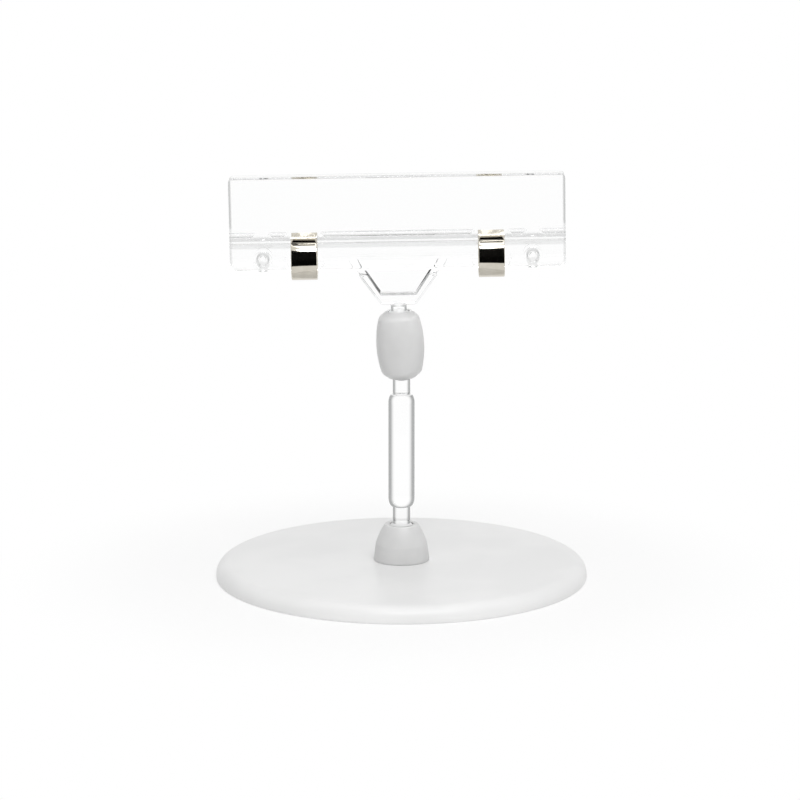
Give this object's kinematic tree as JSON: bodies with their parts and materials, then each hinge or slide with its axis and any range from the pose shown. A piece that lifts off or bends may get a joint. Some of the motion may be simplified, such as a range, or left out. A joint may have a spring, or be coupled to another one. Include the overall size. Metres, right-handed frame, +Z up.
{
  "type": "postcard holder",
  "caption": "Clear spring-loaded card clip on a ball-jointed stem with a barrel connector and a round white desk base; the clip swivels, leans, nods and opens to grip a card.",
  "frame": {"origin": "centre of the base disc's underside, on the desk", "axes": "+Z up, X along the clip's width, -Y towards the front, from where the picture was taken"},
  "size_m": [0.09, 0.09, 0.099],
  "materials": {
    "white_plastic": "satin white moulded plastic",
    "frosted_plastic": "frosted natural plastic",
    "clear_plastic": "clear polished plastic",
    "nickel_strip": "bright warm nickel plate"
  },
  "bodies": {
    "base": {"base_disc": "white_plastic", "base_socket": "frosted_plastic"},
    "stem": {"stem": "clear_plastic"},
    "connector": {"connector": "frosted_plastic"},
    "clip": {"rear_jaw": "clear_plastic", "spring_left": "nickel_strip", "spring_right": "nickel_strip"},
    "front_jaw": {"front_jaw": "clear_plastic"}
  },
  "joints": [
    {"name": "stem_swivel", "type": "hinge", "parent": "base", "child": "stem", "pos_m": [0, 0, 0.00973], "axis": [0, 0, 1], "continuous": true},
    {"name": "connector_lean", "type": "hinge", "parent": "stem", "child": "connector", "pos_m": [0, 0, 0.05187], "axis": [0, 1, 0], "range_deg": [-8.8, 15.2]},
    {"name": "clip_nod", "type": "hinge", "parent": "connector", "child": "clip", "pos_m": [-0.0006, 0, 0.06255], "axis": [0.9999, 0, 0.0168], "range_deg": [-15, 15]},
    {"name": "jaw_open", "type": "hinge", "parent": "clip", "child": "front_jaw", "pos_m": [-0.00086, 0, 0.07853], "axis": [0.9999, 0, 0.0168], "range_deg": [0, 12], "stiffness_Nm_per_rad": 0.08, "springref_deg": -22.92, "deforming": ["spring_left", "spring_right"]}
  ]
}
